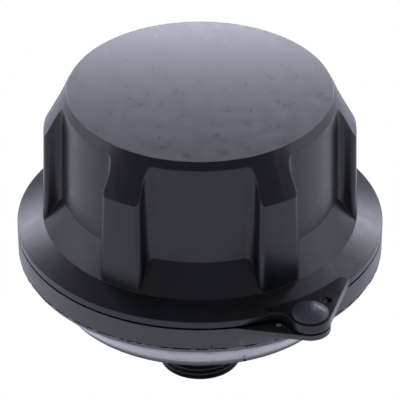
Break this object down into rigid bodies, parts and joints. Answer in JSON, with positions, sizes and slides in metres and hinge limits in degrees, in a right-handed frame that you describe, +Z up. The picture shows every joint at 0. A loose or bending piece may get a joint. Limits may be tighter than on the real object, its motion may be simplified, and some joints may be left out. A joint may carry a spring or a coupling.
{
  "type": "hydraulic filler breather",
  "caption": "Round black filler breather for a hydraulic tank: lobed quick-turn cap with lock ear and plug, flanged bowl, filter element and threaded neck.",
  "frame": {"origin": "on the neck's axis, at the underside of the neck seal, where the breather sits on the tank", "axes": "+Z up along the neck and cap axis, +X towards the lock ears"},
  "size_m": [0.1273, 0.115, 0.1016],
  "materials": {
    "black_nylon": "satin moulded glass-filled nylon",
    "black_rubber": "matt nitrile rubber",
    "aluminium": "plain turned",
    "zinc_steel": "zinc plated",
    "brass": "plain turned",
    "filter_paper": "resin-treated pleated paper"
  },
  "bodies": {
    "base": {"base_bowl": "black_nylon", "neck_seal": "black_rubber", "splash_baffle": "black_nylon"},
    "cap": {"cap_shell": "black_nylon", "cap_gasket": "black_rubber", "valve_plate": "black_nylon", "plate_seal": "black_rubber", "relief_spring": "zinc_steel", "spring_retainer": "zinc_steel", "clamp_spacer": "zinc_steel", "clamp_washer": "zinc_steel", "clamp_bolt": "zinc_steel", "boss_insert": "brass", "element_media": "filter_paper", "element_core": "black_nylon", "element_guard": "zinc_steel", "element_lower_cap": "black_nylon", "element_upper_cap": "black_nylon", "element_lower_gasket": "black_rubber", "element_upper_gasket": "black_rubber", "intake_flap_1": "black_rubber", "intake_flap_2": "black_rubber", "intake_flap_3": "black_rubber"},
    "relief": {"relief_disc": "aluminium", "relief_seal": "black_rubber"},
    "plug": {"ear_plug": "black_rubber"}
  },
  "joints": [
    {"name": "cap_twist", "type": "hinge", "parent": "base", "child": "cap", "pos_m": [0, 0, 0.03415], "axis": [0, 0, 1], "range_deg": [0, 60]},
    {"name": "relief_lift", "type": "slide", "parent": "cap", "child": "relief", "axis": [0, 0, 1], "range_m": [0, 0.0025], "stiffness_N_per_m": 1500, "springref_m": -0.008, "deforming": ["relief_spring"]},
    {"name": "plug_pull", "type": "slide", "parent": "cap", "child": "plug", "axis": [0, 0, 1], "range_m": [0, 0.003]}
  ]
}
